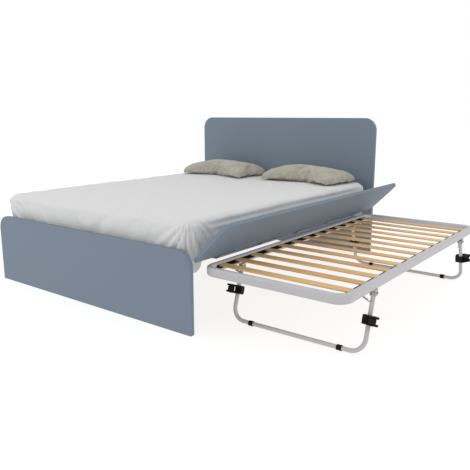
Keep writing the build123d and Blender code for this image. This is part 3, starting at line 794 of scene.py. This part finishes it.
@dataclass
class FittedSheet:
    """A white fitted sheet over the mattress, shaped by displacement, not simulated."""

    rack: FinishRack
    step: float = 12 * MM
    row: float = 6 * MM
    gap: float = 1.6 * MM
    pleats: int = 24
    pleat_rise: float = 15.0
    long_rise: float = 8.0
    short_rise: float = 5.0
    rolls: tuple[tuple[float, float, float], ...] = (
        (8.0, 0.02, 0.011),
        (8.0, 0.054, 0.013),
        (5.0, 0.098, 0.016),
    )
    gather_reach: float = 0.24
    tail_reach: tuple[float, float] = (0.05, 0.125)
    tail_low: float = 0.3

    def on_top(self, at: Vector, out: float) -> float:
        """Return the height in millimetres of the slack and creases on the top."""
        slow = noise.noise(Vector((at.x * 2.1, at.y * 2.1, 3.0)))
        height = 2.0 * (0.5 + slow)
        for angle, pace, seed, tall in ((38, 2.6, 11.0, 3.5), (-27, 1.9, 23.0, 3.0)):
            turn = math.radians(angle)
            u = at.x * math.cos(turn) + at.y * math.sin(turn)
            v = at.y * math.cos(turn) - at.x * math.sin(turn)
            height += tall * crest(noise.noise(Vector((u * pace, v * 0.5, seed))), 5)
        # Short pulls come in from every edge of the top.
        pull = crest(noise.noise(Vector((at.x * 9, at.y * 9, 61.0))), 3)
        return height + 3.0 * pull * smoothstep(-0.16, -0.02, out)

    def on_side(self, run: float, drop: float, which: float) -> float:
        """Return the height in millimetres of the folds down one side.

        Args:
            run: The distance along the side, slanted away from the nearer corner.
            drop: The distance below the top.
            which: A number that differs from side to side.
        """
        long_fold = crest(noise.noise(Vector((run * 4.2, drop * 1.5, which))), 3)
        short_fold = crest(noise.noise(Vector((run * 11, drop * 5, which + 30))), 2)
        # The cloth puffs out between narrow grooves.
        low_down = smoothstep(0.03, 0.1, drop)
        return self.long_rise * (1 - long_fold) + self.short_rise * (1 - short_fold) * low_down

    def gathers(self, turn_by: float, drop: float) -> float:
        """Return the height in millimetres of the pleats that fan out below a corner.

        Args:
            turn_by: The signed distance along the edge from the corner.
            drop: The distance below the top.
        """
        angle = math.atan2(turn_by, drop + 0.04)
        angle += 0.1 * noise.noise(Vector((turn_by * 9, drop * 8, 77.0)))
        near = 1 - smoothstep(0.25, 1.0, abs(turn_by) / self.gather_reach)
        ridge = math.sqrt(0.5 + 0.5 * math.cos(self.pleats * angle))
        return self.pleat_rise * near * ridge * smoothstep(4 * MM, 45 * MM, drop)

    def wrinkle(self, at: Vector, block: SoftBlock) -> float:
        """Return how far the cloth stands off the mattress at a place.

        Args:
            at: A point on the smooth sheet.
            block: The shape that the sheet lies on.

        Returns:
            The distance outwards, in metres, never negative.
        """
        drop = block.high.z - at.z
        side = smoothstep(8 * MM, 40 * MM, drop)
        x, y = at.x - block.middle.x, at.y - block.middle.y
        out, way = block.outward(x, y)
        reach = (block.high - block.low) / 2
        turn_by = (reach.x - abs(x)) - (reach.y - abs(y))
        around = -way[1] * x + way[0] * y
        slant = around + math.copysign(0.8, around) * drop
        which = 41.0 + 7 * round(way[0]) + 13 * round(way[1])
        height = (1 - side) * self.on_top(at, out) + side * self.on_side(slant, drop, which)
        height += self.gathers(turn_by, drop)
        # Along both long sides the slack rolls into ridges with grooves between them.
        along_side = abs(way[0]) * smoothstep(0.04, 0.3, -turn_by)
        run = drop + 0.006 * noise.noise(Vector((at.y * 1.6, 5.0, 1.0)))
        rolls = sum(tall * bell(run, at_drop, width) for tall, at_drop, width in self.rolls)
        return max(0.0, height * (1 - 0.7 * along_side * side) + along_side * rolls) * MM

    def hem(self, at: Vector, block: SoftBlock, tuck_z: float) -> float:
        """Return the height of the hem: tucked in, but for a tail at the open corner."""
        toe = at.y - block.low.y
        outer = smoothstep(block.high.x - 0.06, block.high.x - 0.01, at.x)
        loose = outer * (1 - smoothstep(*self.tail_reach, toe))
        return tuck_z - (tuck_z - self.tail_low) * loose

    def build(self) -> bpy.types.Object:
        """Build the sheet over the mattress, with a loose tail beside the hinges."""
        low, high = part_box("mattress")
        gap = Vector((self.gap, self.gap, 0))
        block = SoftBlock(low - gap, high + gap + Vector((0, 0, self.gap)), pull_in=SIDE_PULL)
        block.corner += self.gap
        tuck_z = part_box("base_slats")[1].z + 2 * MM
        fall = block.high.z - tuck_z
        shell = block_grid(block, tuck_z, self.step, closed=False, row=self.row)
        for vert in shell.verts:
            share = (block.high.z - vert.co.z) / fall
            vert.co.z = block.high.z - share * (block.high.z - self.hem(vert.co, block, tuck_z))
        for vert in shell.verts:
            vert.co = block.shape(vert.co)
        shell.normal_update()
        moved = [(v, v.co + v.normal * self.wrinkle(v.co, block)) for v in shell.verts]
        for vert, place in moved:
            vert.co = place
        bmesh.ops.smooth_vert(
            shell, verts=shell.verts, factor=0.2, use_axis_x=True, use_axis_y=True, use_axis_z=True
        )
        piece = new_piece("fitted_sheet_cloth", shell)
        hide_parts("fitted_sheet")
        self.rack.put_on(piece, "sheet_cotton")
        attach(piece, "main_bed")
        return piece


@dataclass
class Pillow:
    """A pillow in a linen case: blown up as cloth, then let down on the sheet."""

    rack: FinishRack
    node: str
    turn: float
    step: float = 11 * MM
    spare: Vector = field(default_factory=lambda: Vector((0.06, 0.06, 0.0)))
    crown: float = 96 * MM
    belly: float = 26 * MM
    seed: float = 5.0
    wall: float = 18 * MM
    fullness: float = 0.62  # power that fills out the sides; 1 leaves them as simulated
    corner_pull: float = 0.1
    ruffle_rise: float = 9 * MM
    fold_depth: float = 15 * MM

    def case(self, size: Vector) -> bpy.types.Object:
        """Return the flat case: two layers of cloth joined by a low wall."""
        flat = bmesh.new()
        across, along = round(size.x / self.step), round(size.y / self.step)
        bmesh.ops.create_grid(flat, x_segments=across, y_segments=along, size=0.5)
        bmesh.ops.scale(flat, vec=(size.x, size.y, 1.0), verts=flat.verts)
        layer = flat.loops.layers.uv.new("cloth")
        for face in flat.faces:
            for loop in face.loops:
                loop[layer].uv = loop.vert.co.xy
        lifted = bmesh.ops.extrude_face_region(flat, geom=flat.faces[:])["geom"]
        upper = [g for g in lifted if isinstance(g, bmesh.types.BMVert)]
        bmesh.ops.translate(flat, vec=(0, 0, self.wall), verts=upper)
        bmesh.ops.recalc_face_normals(flat, faces=flat.faces)
        for vert in flat.verts:
            vert.co.z += 1.5 * MM * noise.noise(Vector((vert.co.x * 22, vert.co.y * 22, self.seed)))
        return new_piece(self.node + "_case", flat)

    def blow_up(self, piece: bpy.types.Object) -> None:
        """Fill the case with air pressure as a cloth simulation and keep the result."""
        cloth = piece.modifiers.new("cloth", "CLOTH")
        cloth.settings.quality = 6
        cloth.settings.mass = 0.25
        cloth.settings.tension_stiffness = 40
        cloth.settings.compression_stiffness = 40
        cloth.settings.shear_stiffness = 12
        cloth.settings.bending_stiffness = 0.4
        cloth.settings.use_pressure = True
        cloth.settings.uniform_pressure_force = 5.0
        cloth.settings.effector_weights.gravity = 0.0
        cloth.point_cache.frame_start = 1
        cloth.point_cache.frame_end = 24
        for number in range(1, 25):
            bpy.context.scene.frame_set(number)
        apply_modifiers(piece)
        bpy.context.scene.frame_set(1)

    def crumple(self, places: np.ndarray) -> None:
        """Droop the seam, ruffle it and press a fold into the front corner.

        Args:
            places: The points from the pillow's middle, changed in place.
        """
        half = np.abs(places).max(0)
        for place in places:
            x, y = place[0] / half[0], place[1] / half[1]
            to_seam = min(half[0] * (1 - abs(x)), half[1] * (1 - abs(y)))
            ruffle = math.exp(-to_seam / 0.04)
            place[:2] *= 1 - self.corner_pull * (abs(x) * abs(y)) ** 3
            if place[2] > 0:
                place[2] = self.crown * (place[2] / self.crown) ** self.fullness
            along, layer = (place[0], 1.0) if abs(y) > abs(x) else (place[1], 2.0)
            spot = Vector((along * 34, to_seam * 10, self.seed + layer + (place[2] > 0)))
            slack = noise.noise(Vector((place[0] * 8, place[1] * 8, self.seed)))
            # The seam sinks from the pillow's waist to the sheet.
            place[2] -= (self.belly - 8 * MM) * ruffle
            place[2] += self.ruffle_rise * ruffle * noise.noise(spot)
            if place[2] > 0:
                past = x - 0.3 - 0.5 * smoothstep(-1.0, 0.15, y)
                lobe = smoothstep(0.0, 0.05, past) * (1 - smoothstep(0.3, 0.6, past))
                place[2] -= self.fold_depth * lobe * (1 - smoothstep(-0.2, 0.3, y))
                place[2] += 4 * MM * crest(slack, 3)

    def let_down(self, piece: bpy.types.Object, floor_z: float) -> None:
        """Lay the pillow on the sheet: a full crown above and a flat belly below."""
        mesh = piece.data
        count = len(mesh.vertices)
        places = np.zeros(count * 3)
        mesh.vertices.foreach_get("co", places)
        places = places.reshape(-1, 3)
        middle = (places.min(0) + places.max(0)) / 2
        places -= middle
        above = places[:, 2].max()
        up = places[:, 2] > 0
        places[up, 2] *= self.crown / above
        places[~up, 2] *= self.belly * 1.6 / above
        self.crumple(places)
        places[:, 2] = np.maximum(places[:, 2], -self.belly)
        low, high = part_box(self.node)
        turned = Matrix.Rotation(math.radians(self.turn), 3, "Z")
        places = places @ np.array(turned).T
        middle_x, middle_y = (low.x + high.x) / 2, (low.y + high.y) / 2
        places += np.array([middle_x, middle_y, floor_z + self.belly])
        mesh.vertices.foreach_set("co", places.ravel())
        mesh.update()

    def build(self) -> bpy.types.Object:
        """Build one pillow at its CAD solid's place."""
        low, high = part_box(self.node)
        turn = abs(math.radians(self.turn))
        width = (high.x - low.x) / math.cos(turn) - PILLOW_DEPTH * math.sin(turn)
        depth = (high.y - low.y) / math.cos(turn) - width * math.sin(turn)
        size = Vector((width, depth, 0)) + self.spare
        piece = self.case(size)
        self.blow_up(piece)
        self.let_down(piece, low.z + 3.5 * MM)
        smooth = piece.modifiers.new("smooth", "SUBSURF")
        smooth.levels = smooth.render_levels = 1
        apply_modifiers(piece)
        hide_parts(self.node)
        self.rack.put_on(piece, "pillow_linen")
        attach(piece, "main_bed")
        return piece


# ---------------------------------------------------------------------------- springs
@dataclass
class LegSpring:
    """The extension springs of a leg: a close coil with a plain stem at each end."""

    rack: FinishRack
    wire: float = 0.9 * MM
    coil: float = 3.4 * MM
    turns: int = 26
    share: float = 0.7

    def coil_mesh(self, start: Vector, end: Vector) -> bmesh.types.BMesh:
        """Return one spring between two points, spun from a ring of wire.

        Args:
            start: The hook end on the bed frame.
            end: The hook end on the leg.

        Returns:
            The spring's bmesh in the row frame.
        """
        spring = bmesh.new()
        length = (end - start).length
        body = self.share * length
        ring = bmesh.ops.create_circle(spring, segments=6, radius=self.wire)["verts"]
        upright = Matrix.Rotation(math.pi / 2, 3, "X")
        bmesh.ops.rotate(spring, verts=ring, cent=(0, 0, 0), matrix=upright)
        bmesh.ops.translate(spring, verts=ring, vec=(self.coil, 0, -body / 2))
        steps = 10 * self.turns
        bmesh.ops.spin(
            spring,
            geom=spring.edges[:],
            cent=(0, 0, 0),
            axis=(0, 0, 1),
            dvec=(0, 0, body / steps),
            angle=2 * math.pi * self.turns,
            steps=steps,
            use_merge=False,
        )
        for side in (-1, 1):
            stem = bmesh.ops.create_cone(
                spring,
                cap_ends=True,
                segments=8,
                radius1=self.wire,
                radius2=self.wire,
                depth=(length - body) / 2 + 2 * self.wire,
            )["verts"]
            bmesh.ops.translate(spring, verts=stem, vec=(0, 0, side * (length + body) / 4))
        loose = [e for e in spring.edges if e.is_boundary]
        bmesh.ops.holes_fill(spring, edges=loose, sides=8)
        bmesh.ops.recalc_face_normals(spring, faces=spring.faces)
        aim = (end - start).to_track_quat("Z", "Y").to_matrix().to_4x4()
        place = Matrix.Translation((start + end) / 2) @ aim
        bmesh.ops.transform(spring, matrix=place, verts=spring.verts)
        return spring

    def build(self, end_name: str) -> list[bpy.types.Object]:
        """Build both springs of one leg where their CAD rods are."""
        node = f"leg_springs_{end_name}"
        low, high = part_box(node)
        near, far = (low.y, high.y) if end_name == "foot" else (high.y, low.y)
        inset = self.coil
        made = []
        for name, x in (("inner", low.x + inset), ("outer", high.x - inset)):
            start = Vector((x, near, high.z - inset))
            end = Vector((x, far, low.z + inset))
            piece = new_piece(f"leg_spring_{name}_{end_name}", self.coil_mesh(start, end))
            self.rack.put_on(piece, "spring_steel")
            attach(piece, "trundle")
            made.append(piece)
        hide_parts(node)
        return made


# ---------------------------------------------------------------------------- stage
@dataclass
class Studio:
    """A pale floor, soft light all round and the camera."""

    eye: Vector = field(default_factory=lambda: Vector((2.641, -1.975, 1.0925)))
    yaw: float = 37.58
    pitch: float = 11.86
    roll: float = -0.05
    lens: float = 43.09
    shift: tuple[float, float] = (-0.0008, -0.0071)
    floor_size: float = 60.0
    floor_glow: float = 0.82

    def camera(self) -> None:
        """Make the camera at the object's front right, just above it."""
        data = bpy.data.cameras.new("studio_camera")
        data.sensor_width = 36.0
        data.lens = self.lens
        data.shift_x, data.shift_y = self.shift
        data.clip_end = 200.0
        seen = bpy.data.objects.new("studio_camera", data)
        turn = Matrix.Rotation(math.radians(self.yaw), 4, "Z")
        tilt = Matrix.Rotation(math.radians(90 - self.pitch), 4, "X")
        twist = Matrix.Rotation(math.radians(self.roll), 4, "Z")
        seen.matrix_world = Matrix.Translation(self.eye) @ turn @ tilt @ twist
        bpy.context.scene.collection.objects.link(seen)
        bpy.context.scene.camera = seen

    def floor(self) -> None:
        """Make the pale floor."""
        sheet = bmesh.new()
        bmesh.ops.create_grid(sheet, x_segments=1, y_segments=1, size=self.floor_size / 2)
        bmesh.ops.translate(sheet, vec=(0, 0, CAD_BOX[0].z), verts=sheet.verts)
        piece = new_piece("studio_floor", sheet, smooth=False)
        paint = Finish("", "pale_studio_floor", "#767676", 0.9).material()
        shader = paint.node_tree.nodes["Principled BSDF"]
        shader.inputs["Emission Color"].default_value = BRIGHT
        shader.inputs["Emission Strength"].default_value = self.floor_glow
        piece.data.materials.append(paint)

    def lamp(self, name: str, place: Vector, aim: Vector, size: float, power: float) -> None:
        """Add one square soft lamp that looks at a point."""
        data = bpy.data.lights.new(name, "AREA")
        data.shape = "SQUARE"
        data.size = size
        data.energy = power
        lamp = bpy.data.objects.new(name, data)
        turned = (aim - place).to_track_quat("-Z", "Y").to_matrix().to_4x4()
        lamp.matrix_world = Matrix.Translation(place) @ turned
        bpy.context.scene.collection.objects.link(lamp)

    def light(self) -> None:
        """Light the room evenly, with a soft key from the front left and a weak fill."""
        world = bpy.data.worlds.new("studio")
        world.use_nodes = True
        background = world.node_tree.nodes["Background"]
        background.inputs["Color"].default_value = BRIGHT
        background.inputs["Strength"].default_value = 1.0
        bpy.context.scene.world = world
        aim = (CAD_BOX[0] + CAD_BOX[1]) / 2
        self.lamp("key", Vector((-2.6, -3.4, 3.4)), aim, 1.2, 40.0)
        self.lamp("fill", Vector((4.6, -0.6, 3.2)), aim, 2.0, 26.0)
        bpy.context.scene.view_settings.view_transform = "Standard"


def main() -> None:
    """Dress the CAD nodes, build the soft goods and springs, and set the stage."""
    logging.basicConfig(level=logging.INFO, format="%(name)s: %(message)s")
    rack = FinishRack()
    rack.fill()
    rack.dress_cad()
    studio = Studio()
    steps: list[tuple[str, Callable[[], Any]]] = [
        ("camera", studio.camera),
        ("floor", studio.floor),
        ("light", studio.light),
        ("mattress", Mattress(rack).build),
        ("fitted sheet", FittedSheet(rack).build),
        ("left pillow", Pillow(rack, "pillow_left", -4.0, seed=5.0).build),
        ("right pillow", Pillow(rack, "pillow_right", -5.0, seed=9.0).build),
        ("foot springs", lambda: LegSpring(rack).build("foot")),
        ("head springs", lambda: LegSpring(rack).build("head")),
    ]
    for name, step in steps:
        step()
        LOG.info("made %s", name)


if __name__ == "__main__":
    main()
